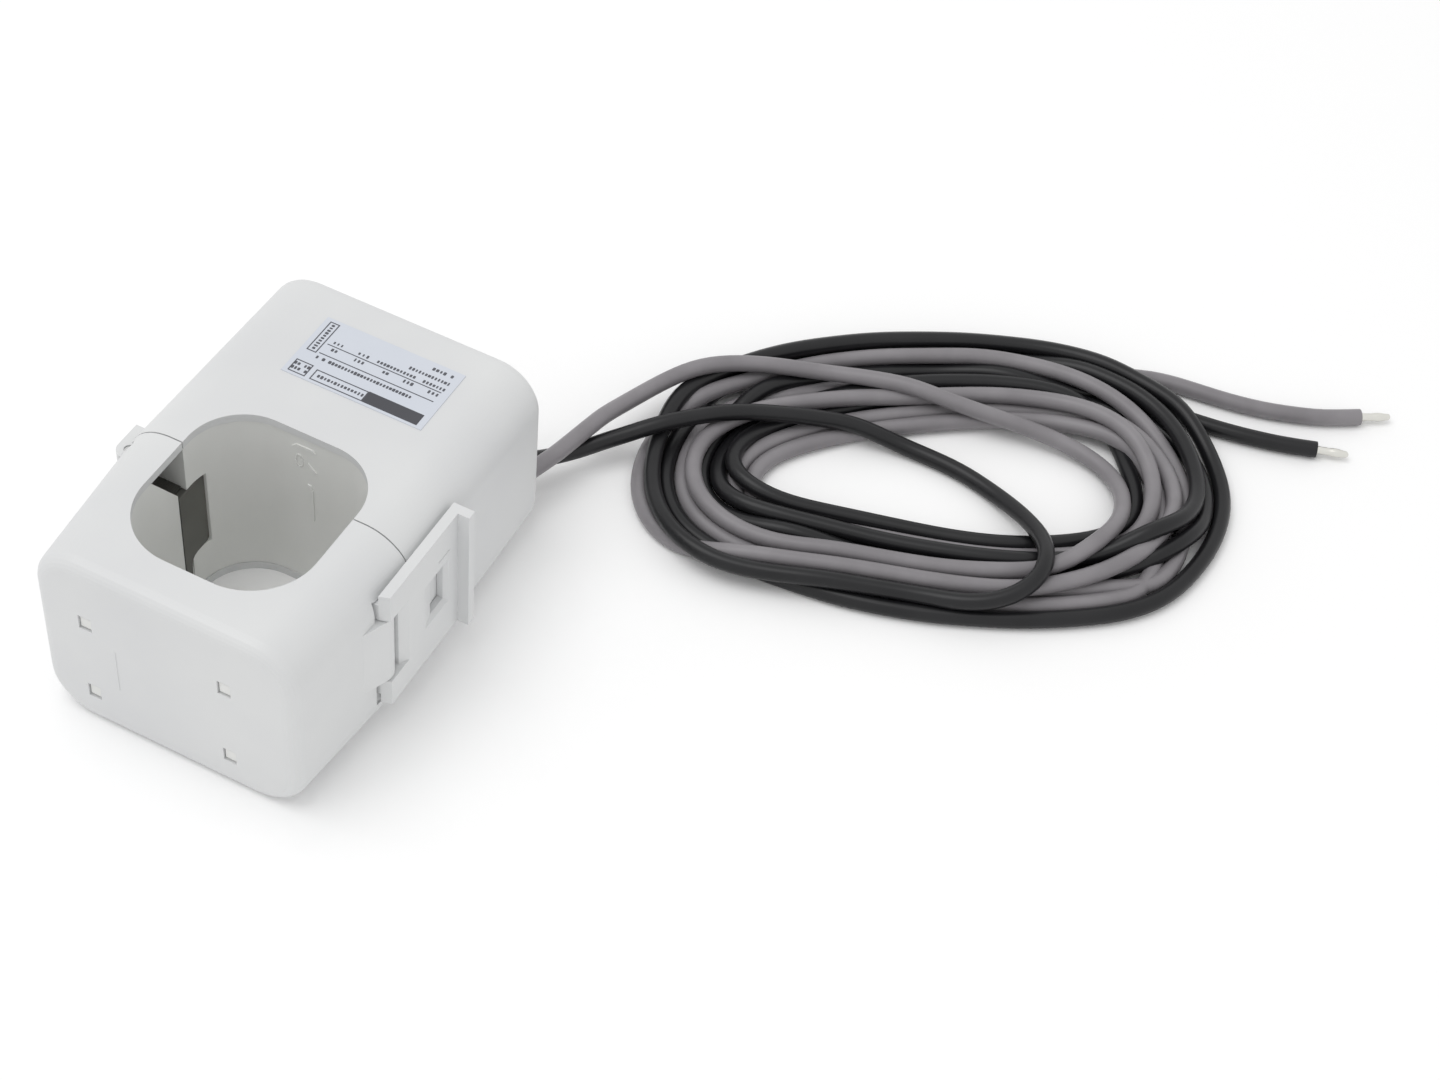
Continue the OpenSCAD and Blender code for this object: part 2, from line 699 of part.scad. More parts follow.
// An eight-sided tube along the route: one ring of corners at each point.
module tube(points, r) {
    sides = 8;
    rings = [for (i = [0 : len(points) - 1])
        let (t = along(points, i), u = cross([0, 0, 1], t) / norm(cross([0, 0, 1], t)), v = cross(t, u))
        for (k = [0 : sides - 1]) points[i] + r * (cos(45 * k) * u + sin(45 * k) * v)];
    n = len(points);
    skin = [for (i = [0 : n - 2], k = [0 : sides - 1])
        let (a = i * sides + k, b = i * sides + (k + 1) % sides) [a, a + sides, b + sides, b]];
    polyhedron(rings, concat([[for (k = [0 : sides - 1]) k]],
        skin, [[for (k = [sides - 1 : -1 : 0]) (n - 1) * sides + k]]), convexity = 6);
}

module grey_lead() {
    color(lead_grey) tube(grey_route, lead_r);
}

module black_lead() {
    color(lead_black) tube(black_route, lead_r);
}

module grey_lead_end() {
    color(lead_grey) tube(grey_end_route, lead_r);
}

module black_lead_end() {
    color(lead_black) tube(black_end_route, lead_r);
}

module oval(size) {
    rounded_rect(size[0], size[1], size[2], $fn = 72);
}

module lead_coil() {
    color(lead_black) translate([coil_centre[0], coil_centre[1], 0]) rotate(coil_turn)
        linear_extrude(coil_h) difference() {
            oval(coil_outer);
            oval(coil_inner);
        }
}

// The bare strands at the end of a lead, running on in its own direction.
module tip(route) {
    last = len(route) - 1;
    t = along(route, last);
    translate(route[last]) rotate([0, acos(t[2]), atan2(t[1], t[0])]) {
        cylinder(r = lead_r * 0.5, h = tip_l * 0.4);
        translate([0, 0, tip_l * 0.4]) cylinder(r1 = lead_r * 0.5, r2 = lead_r * 0.6, h = tip_l * 0.2);
        translate([0, 0, tip_l * 0.6]) cylinder(r1 = lead_r * 0.6, r2 = lead_r * 0.35, h = tip_l * 0.4);
    }
}

module grey_tip() {
    color(tin) tip(grey_end_route);
}

module black_tip() {
    color(tin) tip(black_end_route);
}

placed() body_case();
placed() body_insert();
placed() body_core();
placed() bobbin();
placed() secondary_winding();
placed() winding_tape();
placed() winding_tails();
placed() terminal_board();
placed() solder_posts();
placed() lead_grommet();
placed() grey_inner_lead();
placed() black_inner_lead();
placed() label();
placed() hinge_pin();
placed() jaw_case();
placed() jaw_insert();
placed() jaw_core();
placed() core_pad();
placed() latch_clip();
placed() latch_pin();
placed() grey_lead();
placed() black_lead();
placed() lead_coil();
placed() grey_lead_end();
placed() black_lead_end();
placed() grey_tip();
placed() black_tip();
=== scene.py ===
import bpy
import bmesh
import json
import math
import numpy as np
from mathutils import Matrix, Vector


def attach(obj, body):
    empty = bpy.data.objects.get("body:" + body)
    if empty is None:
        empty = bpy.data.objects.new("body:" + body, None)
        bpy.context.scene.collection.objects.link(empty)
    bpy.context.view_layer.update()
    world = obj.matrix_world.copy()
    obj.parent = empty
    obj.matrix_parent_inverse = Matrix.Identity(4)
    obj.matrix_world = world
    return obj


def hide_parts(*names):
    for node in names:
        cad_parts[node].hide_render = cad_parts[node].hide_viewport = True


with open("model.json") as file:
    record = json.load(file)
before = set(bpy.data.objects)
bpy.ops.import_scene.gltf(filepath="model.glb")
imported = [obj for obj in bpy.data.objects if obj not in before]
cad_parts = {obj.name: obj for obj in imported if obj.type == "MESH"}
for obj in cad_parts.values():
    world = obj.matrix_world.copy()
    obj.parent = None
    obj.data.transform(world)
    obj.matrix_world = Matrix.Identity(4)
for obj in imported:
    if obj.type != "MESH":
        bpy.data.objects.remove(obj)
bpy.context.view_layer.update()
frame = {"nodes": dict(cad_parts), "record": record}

mounts = {m["name"]: m for m in frame["record"]["mounts"]}
windowAxis = Vector((*mounts["cable_window"]["pos_m"][:2], 0.0))
millimetre = 0.001


def place(x, y, z=0.0):  # millimetres from the window's axis and the base, to the frame in metres
    return windowAxis + Vector((x, y, z)) * millimetre


def addObject(name, data):
    thing = bpy.data.objects.new(name, data)
    bpy.context.scene.collection.objects.link(thing)
    return thing


def meshObject(name, bm, *materials):  # a finished piece, with its place in its mesh
    mesh = bpy.data.meshes.new(name)
    bm.to_mesh(mesh)
    bm.free()
    for material in materials:
        mesh.materials.append(material)
    return addObject(name, mesh)


# camera: angles in degrees, distances in millimetres from the window's axis, clip distances in metres
cameraSetup = {"azimuth": 21.951, "elevation": 48.467, "roll": 6.675, "distance": 515.747,
               "right": -86.687, "up": 21.471, "lens": 68.35, "sensor": 36.0, "near": 0.01, "far": 20}


def addCamera(setup):
    az, el, roll = (math.radians(setup[k]) for k in ("azimuth", "elevation", "roll"))
    forward = Vector((-math.sin(az) * math.cos(el), math.cos(az) * math.cos(el), -math.sin(el)))
    level = Vector((math.cos(az), math.sin(az), 0))
    upright = level.cross(forward)
    right = math.cos(roll) * level + math.sin(roll) * upright
    up = math.cos(roll) * upright - math.sin(roll) * level
    spot = place(*(-setup["right"] * right + setup["up"] * up - setup["distance"] * forward))
    data = bpy.data.cameras.new("camera")
    data.lens, data.sensor_width, data.sensor_fit = setup["lens"], setup["sensor"], "HORIZONTAL"
    data.clip_start, data.clip_end = setup["near"], setup["far"]
    camera = addObject("camera", data)
    camera.matrix_world = Matrix.Translation(spot) @ Matrix((right, up, -forward)).transposed().to_4x4()
    bpy.context.scene.camera = camera


addCamera(cameraSetup)
print("camera placed")


def colour(hexCode):  # sRGB hex to linear RGBA
    parts = [int(hexCode[i:i + 2], 16) / 255 for i in (1, 3, 5)]
    return [c / 12.92 if c <= 0.04045 else ((c + 0.055) / 1.055) ** 2.4 for c in parts] + [1.0]


def addNode(tree, kind, settings=None, **links):  # links: i0, i1 are inputs by number, in other names _ is a space
    node = tree.nodes.new(kind)
    for key, value in (settings or {}).items():
        if isinstance(key, int) or key in node.inputs:
            node.inputs[key].default_value = value
        else:
            setattr(node, key, value)
    for key, source in links.items():
        numbered = key[0] == "i" and key[1:].isdigit()
        tree.links.new(source, node.inputs[int(key[1:]) if numbered else key.replace("_", " ")])
    return node


def newMaterial(name, shader):
    material = bpy.data.materials.new(name)
    material.use_nodes = True
    tree = material.node_tree
    tree.nodes.clear()
    out = tree.nodes.new("ShaderNodeOutputMaterial")
    principled = addNode(tree, "ShaderNodeBsdfPrincipled", shader)
    tree.links.new(principled.outputs[0], out.inputs[0])
    return material, tree, principled


def objectPoint(tree):
    return tree.nodes.new("ShaderNodeTexCoord").outputs["Object"]


# noise scales are counts to the metre: 30 makes patches of about 33 mm, 700 a grain of about 1.4 mm
skinSetup = {"patches": 30.0, "patchDetail": 3.0, "edges": (0.35, 0.65), "grainDetail": 2.0, "strength": 0.35,
             "ior": 1.53}


def mottle(tree, point, scale, low, high, detail=skinSetup["patchDetail"]):  # a soft drift between two colours
    noise = addNode(tree, "ShaderNodeTexNoise", {"Scale": scale, "Detail": detail}, Vector=point)
    ramp = addNode(tree, "ShaderNodeValToRGB", i0=noise.outputs["Fac"])
    for element, position, shade in zip(ramp.color_ramp.elements, skinSetup["edges"], (low, high)):
        element.position, element.color = position, colour(shade)
    return ramp.outputs["Color"]


def bump(tree, height, strength, depth):
    return addNode(tree, "ShaderNodeBump", {"Strength": strength, "Distance": depth}, Height=height).outputs["Normal"]


# a moulded or cast skin: two close colours, roughness, and the size and depth of its grain in metres
def grainedSkin(name, low, high, roughness, grain, depth):
    material, tree, shader = newMaterial(name, {"Roughness": roughness, "IOR": skinSetup["ior"]})
    point = objectPoint(tree)
    tree.links.new(mottle(tree, point, skinSetup["patches"], low, high), shader.inputs["Base Color"])
    skin = addNode(tree, "ShaderNodeTexNoise", {"Scale": 1 / grain, "Detail": skinSetup["grainDetail"]}, Vector=point)
    tree.links.new(bump(tree, skin.outputs["Fac"], skinSetup["strength"], depth), shader.inputs["Normal"])
    return material


# ABS from a spark-eroded mould: even off-white with a satin sheen
caseAbs = grainedSkin("caseAbs", "#D4D5D6", "#D9DADA", 0.46, 0.0006, 0.00002)
# the same plastic in the window's lining: a shade warmer and a little duller, and painted paler than the case as
# painted light, to lift the shade inside the window
insertAbs = grainedSkin("insertAbs", "#E0E1DE", "#E5E5E3", 0.5, 0.0006, 0.00002)
# moulded nylon of the bobbin: black, satin
bobbinNylon = grainedSkin("bobbinNylon", "#232324", "#2B2B2C", 0.45, 0.0005, 0.00002)
# moulded rubber round the leads: soft black without a clear highlight
grommetRubber = grainedSkin("grommetRubber", "#26262A", "#2E2E31", 0.55, 0.0005, 0.00002)
# cut foam behind the jaw's core: open, light-swallowing grain
foamStrip = grainedSkin("foamStrip", "#2A2A2A", "#3A3A3A", 0.9, 0.0004, 0.00008)
# polyester tape wound on the coil: yellow, smooth and glossy
polyesterTape = grainedSkin("polyesterTape", "#C79A26", "#D2A832", 0.25, 0.004, 0.00002)
# glass-epoxy board under green solder mask: dark green, a tight gloss
glassEpoxyBoard = grainedSkin("glassEpoxyBoard", "#2A5A38", "#31633F", 0.35, 0.0005, 0.00001)
# printed polyester film of the label: flat, pale blue-grey
labelFilm = grainedSkin("labelFilm", "#CBD0D9", "#D0D4DC", 0.42, 0.002, 0.000005)
# printing ink: flat dark grey, darker on the solid panel
labelInk = grainedSkin("labelInk", "#4A4B52", "#54555C", 0.5, 0.001, 0.000005)
labelInkDark = grainedSkin("labelInkDark", "#3C3D43", "#45464D", 0.5, 0.001, 0.000005)

pvcSetup = {"ior": 1.53, "specular": 0.3, "patches": 90.0, "patchDetail": 4.0, "grain": 700.0, "grainDetail": 3.0,
            "strength": 0.4, "depth": 0.00003}


def leadPvc(name, low, high, roughness):  # extruded PVC: smooth, a soft highlight along its length
    material, tree, shader = newMaterial(name, {"Roughness": roughness, "IOR": pvcSetup["ior"],
                                                "Specular IOR Level": pvcSetup["specular"]})
    point = objectPoint(tree)
    tree.links.new(mottle(tree, point, pvcSetup["patches"], low, high, pvcSetup["patchDetail"]),
                   shader.inputs["Base Color"])
    skin = addNode(tree, "ShaderNodeTexNoise", {"Scale": pvcSetup["grain"], "Detail": pvcSetup["grainDetail"]},
                   Vector=point)
    tree.links.new(bump(tree, skin.outputs["Fac"], pvcSetup["strength"], pvcSetup["depth"]), shader.inputs["Normal"])
    return material


greyPvc = leadPvc("greyPvc", "#7F7C7F", "#8A878A", 0.38)
blackPvc = leadPvc("blackPvc", "#161618", "#1D1D1F", 0.33)

metalSetup = {"grainDetail": 2.0, "strength": 0.3, "depth": 0.00002}


def drawnMetal(name, tint, roughness, grain):  # bright metal with fine drawing marks
    material, tree, shader = newMaterial(name, {"Base Color": colour(tint), "Metallic": 1.0, "Roughness": roughness})
    marks = addNode(tree, "ShaderNodeTexNoise", {"Scale": 1 / grain, "Detail": metalSetup["grainDetail"]},
                    Vector=objectPoint(tree))
    tree.links.new(bump(tree, marks.outputs["Fac"], metalSetup["strength"], metalSetup["depth"]),
                   shader.inputs["Normal"])
    return material


# dipped tin over copper: pale and slightly dull
tinnedCopper = drawnMetal("tinnedCopper", "#D9D8D2", 0.3, 0.0008)
# drawn steel pin: bright, with a narrow highlight
pinSteel = drawnMetal("pinSteel", "#C9C9C9", 0.25, 0.001)

# wave bands at this scale lie 1 mm apart: strip edges and wire turns are finer, and are drawn so that they show
windingSetup = {"bands": 320.0, "stripPatches": 60.0, "stripDistortion": 0.3, "stripMetallic": 0.35,
                "stripRoughness": 0.5, "stripStrength": 0.4, "stripDepth": 0.00003, "copper": "#B4642E",
                "copperMetallic": 0.8, "copperRoughness": 0.3, "turnStrength": 0.8, "turnDepth": 0.0001}


def woundStrip(name, low, high):  # varnished silicon-steel strip: dark, with the strip edges as fine lines
    setup = windingSetup
    material, tree, shader = newMaterial(name, {"Metallic": setup["stripMetallic"],
                                                "Roughness": setup["stripRoughness"]})
    point = objectPoint(tree)
    tree.links.new(mottle(tree, point, setup["stripPatches"], low, high), shader.inputs["Base Color"])
    lines = addNode(tree, "ShaderNodeTexWave", {"wave_type": "BANDS", "bands_direction": "X", "Scale": setup["bands"],
                                                 "Distortion": setup["stripDistortion"]}, Vector=point)
    tree.links.new(bump(tree, lines.outputs["Fac"], setup["stripStrength"], setup["stripDepth"]),
                   shader.inputs["Normal"])
    return material


def enamelledWire(name):  # enamelled copper turns: glossy, ribbed along the winding
    setup = windingSetup
    material, tree, shader = newMaterial(name, {"Base Color": colour(setup["copper"]),
                                                "Metallic": setup["copperMetallic"],
                                                "Roughness": setup["copperRoughness"]})
    turns = addNode(tree, "ShaderNodeTexWave", {"wave_type": "BANDS", "bands_direction": "X", "Scale": setup["bands"]},
                    Vector=objectPoint(tree))
    tree.links.new(bump(tree, turns.outputs["Fac"], setup["turnStrength"], setup["turnDepth"]),
                   shader.inputs["Normal"])
    return material


coreStrip = woundStrip("coreStrip", "#4C4C48", "#5C5B56")
poleVarnish = woundStrip("poleVarnish", "#5A5A55", "#686862")
copperTurns = enamelledWire("copperTurns")
print("materials made")


# leads: diameter and lengths in metres; routes and coil in millimetres from the window's axis and the base
leadSetup = {"diameter": 0.0035, "greyLength": 1.38, "blackLength": 1.41, "step": 4.0, "rounds": 160,
             "profile": 4, "between": 2, "order": 4}
coilSetup = {"centre": (92.2, 107.1), "turn": 23.0, "lanes": 5.5, "perQuarter": 6, "from": 0.5}
# innermost and outermost strand along and across the coil, clockwise from the middle of the back, 16 to a turn
coilInside = [(2, 16.5), (19, 18.5), (29, 16), (37, 7.5), (40, -2.5), (38, -11.5), (29, -15.8), (15, -19),
              (1, -17.7), (-12, -15), (-25, -12.5), (-35, -9.5), (-39.5, -5.5), (-37.5, 2), (-28, 8),
              (-12, 12.5)]
coilOutside = [(4, 36.5), (24, 36.2), (41, 31), (53, 22.5), (59.7, 5), (56.5, -10), (46, -23), (26, -33.7),
               (2, -36), (-20, -35), (-40, -32.5), (-53, -27.5), (-59.6, -14), (-57.5, 2), (-48, 18),
               (-24, 32.5)]


def ringPoint(points, t):  # periodic Catmull-Rom through evenly spaced points
    n = len(points)
    s = (t % 1.0) * n
    i, f = int(s) % n, s - int(s)
    a, b, c, d = (np.array(points[(i + k) % n], float) for k in (-1, 0, 1, 2))
    return 0.5 * (2 * b + (c - a) * f + (2 * a - 5 * b + 4 * c - d) * f * f + (3 * b - a - 3 * c + d) * f ** 3)


def coilPoint(t, lane, z):  # t in turns; lane 0 is the innermost
    inside, outside = ringPoint(coilInside, t), ringPoint(coilOutside, t)
    u, v = inside + (outside - inside) * lane / coilSetup["lanes"]
    turn = math.radians(coilSetup["turn"])
    return (coilSetup["centre"][0] + u * math.cos(turn) - v * math.sin(turn),
            coilSetup["centre"][1] + u * math.sin(turn) + v * math.cos(turn), z)


def coilPasses(stations):  # the coiled stretch through its stations, one every quarter turn
    points = []
    perQuarter = coilSetup["perQuarter"]
    for k in range((len(stations) - 1) * perQuarter + 1):
        s = k / perQuarter
        i = min(int(s), len(stations) - 2)
        f = s - i
        ease = f * f * (3 - 2 * f)
        lane, z = (stations[i][m] + (stations[i + 1][m] - stations[i][m]) * ease for m in (0, 1))
        points.append(coilPoint(coilSetup["from"] + s / 4, lane, z))
    return points


# each lead: out of the grommet and onto the coil, round it, and off it to the bare end
greyStart = [(23.7, 57.5, 9), (23.7, 59, 9), (25.4, 62.5, 9), (26.6, 67, 9), (27.6, 72, 9), (28.6, 77, 9),
             (30, 83, 9.2), (32, 89.5, 9.6), (34.8, 96.5, 10.5), (38.8, 103, 11.2), (44, 108, 11.4),
             (49.5, 112, 11), (55.6, 115, 10), (62, 117.8, 9), (68.6, 119.8, 8.6), (75, 121.4, 8.4),
             (82, 122.7, 8.4), (90.6, 124, 8.2), (99.2, 126.2, 7.8), (108, 128, 7), (115.3, 128.4, 6.2),
             (121, 127.4, 5.6), (125.6, 125.2, 5.2), (129, 121.6, 5), (131.2, 116.5, 5), (131.8, 110.7, 5),
             (130.9, 105, 5.1), (128.5, 99.8, 5.2), (124, 94.8, 5.2), (117.5, 90.2, 5.2), (110, 86.4, 5.2)]
# lane and height at front, left, back and right, turn by turn: 1.8 lies on the floor, about 5 on another strand
greyTurns = [(2.8, 5.2), (3.2, 5.0), (1.5, 5.0), (1.8, 5.0),
             (1.1, 1.8), (0.8, 1.8), (0.5, 1.8), (2.9, 5.0),
             (4.1, 5.0), (5.5, 1.8), (3.7, 4.8), (3.2, 1.8),
             (3.4, 1.8), (0.0, 1.8), (0.4, 4.8), (2.0, 1.8),
             (4.6, 1.8), (3.6, 1.8), (2.7, 1.8)]
greyEnd = [(100, 143.5, 1.8), (112, 152, 1.8), (118, 156, 1.8), (123.4, 157.9, 1.8), (131, 158, 1.8),
           (139, 158.9, 1.8), (147, 160.7, 1.8), (155.6, 164.1, 1.8), (163.5, 169.2, 1.8)]
blackStart = [(19.3, 57.5, 9), (19.3, 59, 9), (20.6, 62.5, 7.6), (23.4, 66.5, 5.4), (27, 71, 4.9),
              (31, 76, 5.6), (35.4, 80.6, 7.8), (40, 85.2, 9.4), (45.7, 91.3, 9.6), (51.3, 96.4, 9.2),
              (58, 101.4, 8.6), (64, 105.5, 7), (70.6, 108.6, 5.5), (78, 110.6, 4.2), (86.8, 111.4, 3.5),
              (95.7, 111.2, 3.5), (103.1, 109.6, 4.2), (109.6, 106.6, 5.5), (115.4, 102.6, 7),
              (119.8, 98.2, 8), (122.6, 93.8, 8.2), (123.6, 88.8, 8.2), (122.6, 83.8, 8), (119.4, 79.4, 7.6),
              (114.6, 76.2, 7), (108, 73.6, 6)]
blackTurns = [(5.2, 5.0), (5.0, 5.2), (5.3, 5.0), (5.5, 1.8),
              (5.4, 1.8), (4.4, 1.8), (5.4, 1.8), (4.0, 5.0),
              (1.7, 5.0), (1.9, 4.8), (2.6, 4.8), (0.9, 1.8),
              (0.4, 4.9), (1.0, 4.8), (1.6, 1.8), (4.4, 1.8),
              (2.3, 1.8), (2.7, 1.8), (3.9, 1.8)]
blackEnd = [(100, 140.6, 1.8), (112, 146, 1.8), (120, 147.8, 1.8), (129, 148.8, 1.8), (138.3, 149.8, 1.8),
            (146, 151.3, 1.8), (152, 152.9, 1.8), (158.5, 155.2, 1.8)]
# how the strands settle: points held at exit and end, and shares of each push, sink and straightening
settleSetup = {"smoothing": 3, "smoothHeld": 2, "heldAtExit": 6, "heldAtEnd": 5, "fade": 4, "ownNeighbours": 4,
               "beside": 0.75, "crossingBelow": 0.93, "crossingSideways": 0.35, "lift": 0.05, "push": 0.7,
               "sink": 0.03, "straighten": 0.25, "tie": 1e-6, "least": 1e-9}


def evenPoints(points, step):  # the same line with its points a step apart
    points = np.array(points, float)
    length = np.concatenate([[0], np.cumsum(np.linalg.norm(np.diff(points, axis=0), axis=1))])
    count = max(2, int(round(length[-1] / step)) + 1)
    at = np.linspace(0, length[-1], count)
    return np.stack([np.interp(at, length, points[:, k]) for k in range(3)], axis=1)


def smoothLine(points, rounds, held):
    for _ in range(rounds):
        middle = (points[:-2] + points[2:]) / 2
        points[1 + held:-1 - held] += 0.5 * (middle - points[1:-1])[held:len(middle) - held]
    return points


def freedom(count):  # 0 where the lead is held at its exit and its end, 1 between them
    k = np.arange(count)
    room = np.minimum(k - settleSetup["heldAtExit"], count - settleSetup["heldAtEnd"] - k)
    return np.clip(room / settleSetup["fade"], 0, 1)


def settle(lines, diameter, step, rounds):  # pushes crossing turns apart and lets them sink on each other
    setup = settleSetup
    lines = [smoothLine(evenPoints(line, step), setup["smoothing"], setup["smoothHeld"]) for line in lines]
    sizes = [len(line) for line in lines]
    spans = [slice(sum(sizes[:k]), sum(sizes[:k + 1])) for k in range(len(sizes))]
    rest = np.concatenate(lines)
    strands = rest.copy()
    owner = np.concatenate([np.full(n, k) for k, n in enumerate(sizes)])
    order = np.concatenate([np.arange(n) for n in sizes])
    free = np.concatenate([freedom(n) for n in sizes])
    strangers = (owner[:, None] != owner[None, :]) | (abs(order[:, None] - order[None, :]) > setup["ownNeighbours"])
    for _ in range(rounds):
        tangent = np.zeros_like(strands)
        for span in spans:
            tangent[span] = np.gradient(strands[span], axis=0)
        tangent /= np.linalg.norm(tangent, axis=1, keepdims=True)
        gap = strands[None, :, :] - strands[:, None, :]
        along = (gap * tangent[:, None, :]).sum(2)
        beside = abs(along) < step * setup["beside"]
        i, j = np.nonzero((np.linalg.norm(gap, axis=2) < diameter + step) & beside & strangers)
        across = gap[i, j] - along[i, j][:, None] * tangent[i]
        overlap = np.maximum(diameter - np.linalg.norm(across, axis=1), 0)
        crossing = abs((tangent[i] * tangent[j]).sum(1)) < setup["crossingBelow"]
        across[crossing, :2] *= setup["crossingSideways"]
        across[:, 2] += setup["lift"] * np.sign(across[:, 2] + setup["tie"] * (j - i))  # level: the later one on top
        push = overlap / (np.linalg.norm(across, axis=1) + setup["least"])
        shift = np.zeros_like(strands)
        count = np.zeros(len(strands))
        np.add.at(shift, i, -0.5 * across * push[:, None])
        np.add.at(count, i, push > 0)
        strands += setup["push"] * free[:, None] * shift / np.maximum(count, 1)[:, None]
        strands[:, 2] -= setup["sink"] * free
        for span in spans:
            moved = (strands - rest)[span]
            bend = np.zeros_like(moved)
            bend[1:-1] = (moved[:-2] + moved[2:]) / 2 - moved[1:-1]
            strands[span] += setup["straighten"] * free[span, None] * bend
        strands[:, 2] = np.maximum(strands[:, 2], diameter / 2)
    return [strands[span] for span in spans]


def leadCurve(name, points, material):
    data = bpy.data.curves.new(name, "CURVE")
    data.dimensions = "3D"
    data.bevel_depth, data.bevel_resolution = leadSetup["diameter"] / 2, leadSetup["profile"]
    data.resolution_u = leadSetup["between"]
    data.use_fill_caps = True
    spline = data.splines.new("NURBS")
    spline.points.add(len(points) - 1)
    for point, spot in zip(spline.points, points):
        point.co = (*place(*spot), 1.0)
    spline.order_u, spline.use_endpoint_u = leadSetup["order"], True
    data.materials.append(material)
    return addObject(name, data)


def lineLength(points):  # millimetres in, metres out
    return float(np.linalg.norm(np.diff(points, axis=0), axis=1).sum()) / 1000


leadLines = settle([greyStart + coilPasses(greyTurns) + greyEnd, blackStart + coilPasses(blackTurns) + blackEnd],
                   leadSetup["diameter"] * 1000, leadSetup["step"], leadSetup["rounds"])
print("leads settled, lengths", [round(lineLength(line), 3) for line in leadLines])
greyLead = leadCurve("leadGrey", leadLines[0], greyPvc)
blackLead = leadCurve("leadBlack", leadLines[1], blackPvc)

# bare ends, in millimetres; the shares run from the insulation to the tip
tipSetup = {"length": 7.0, "radius": 0.85, "sides": 20, "rings": 28, "inside": 0.3, "taper": 0.18, "swell": 0.22,
            "swellAt": 0.62, "swellOver": 0.16, "roundFrom": 0.93, "roundOver": 0.075, "least": 0.02,
            "strands": 7, "strandDepth": 0.07, "twist": 1.4, "droop": 0.2}


def tipRadius(f):  # a slight swelling of tin, rounded off at the end
    setup = tipSetup
    swelling = setup["swell"] * math.exp(-((f - setup["swellAt"]) / setup["swellOver"]) ** 2)
    wide = setup["radius"] * (1.0 - setup["taper"] * f + swelling)
    if f > setup["roundFrom"]:
        wide *= math.sqrt(max(0.0, 1 - ((f - setup["roundFrom"]) / setup["roundOver"]) ** 2))
    return max(wide, setup["least"])


def bareTip(name, line, material):  # twisted and tinned strands, running on from the end of the insulation
    end, way = Vector(line[-1]), Vector(line[-1] - line[-2]).normalized()
    side = way.cross(Vector((0, 0, 1))).normalized()
    up = side.cross(way)
    bm = bmesh.new()
    rings = []
    sides, strands, twist = tipSetup["sides"], tipSetup["strands"], tipSetup["twist"]
    for k in range(tipSetup["rings"] + 1):
        f = k / tipSetup["rings"]
        along = tipSetup["length"] * f - tipSetup["inside"]
        ring = []
        for m in range(sides):
            angle = 2 * math.pi * m / sides
            ripple = 1 + tipSetup["strandDepth"] * math.cos(strands * (angle + twist * f * math.pi)) * (1 - f)
            r = tipRadius(f) * ripple
            drop = r * math.sin(angle) - tipSetup["droop"] * f
            ring.append(bm.verts.new(place(*(end + way * along + side * (r * math.cos(angle)) + up * drop))))
        rings.append(ring)
    for a, b in zip(rings, rings[1:]):
        for m in range(sides):
            bm.faces.new((a[m], a[(m + 1) % sides], b[(m + 1) % sides], b[m]))
    bm.faces.new(rings[0][::-1])
    bm.faces.new(rings[-1])
    bmesh.ops.recalc_face_normals(bm, faces=bm.faces)
    tip = meshObject(name, bm, material)
    for face in tip.data.polygons:
        face.use_smooth = True
    return tip


greyTip = bareTip("tipGrey", leadLines[0], tinnedCopper)
blackTip = bareTip("tipBlack", leadLines[1], tinnedCopper)
for tip, node in ((greyTip, "grey_tip"), (blackTip, "black_tip")):
    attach(tip, "body")
    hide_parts(node)
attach(greyLead, "body")
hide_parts("grey_lead", "grey_lead_end", "lead_coil")
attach(blackLead, "body")
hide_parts("black_lead", "black_lead_end", "lead_coil")
print("leads made")

# finishes of the solids that stay
# the window's lining takes the case plastic painted paler: painted light for the shade inside the window
finishes = {caseAbs: ["body_case", "jaw_case", "latch_clip"], insertAbs: ["body_insert", "jaw_insert"],
            coreStrip: ["body_core", "jaw_core"], bobbinNylon: ["bobbin"],
            copperTurns: ["secondary_winding", "winding_tails"], polyesterTape: ["winding_tape"],
            glassEpoxyBoard: ["terminal_board"], tinnedCopper: ["solder_posts"],
            grommetRubber: ["lead_grommet"], greyPvc: ["grey_inner_lead"], blackPvc: ["black_inner_lead"],
            labelFilm: ["label"], pinSteel: ["hinge_pin", "latch_pin"], foamStrip: ["core_pad"]}
for material, names in finishes.items():
    for name in names:
        for slot in frame["nodes"][name].material_slots:
            slot.material = material
print("finishes set")

# printing on the label, in millimetres; the marks' sizes vary between two shares of length, height and thickness
labelTop = 43.15  # above the base
printSetup = {"ink": 0.03, "sunk": 0.01, "line": 0.22, "rowHeight": 0.86, "markPitch": 0.68, "markLength": 0.5,
              "corner": 0.3, "cornerPoints": 2, "smallest": (0.6, 0.7, 1.0), "largest": (1.2, 1.0, 1.0),
              "printed": 0.9, "weld": 0.000001, "seed": 7}
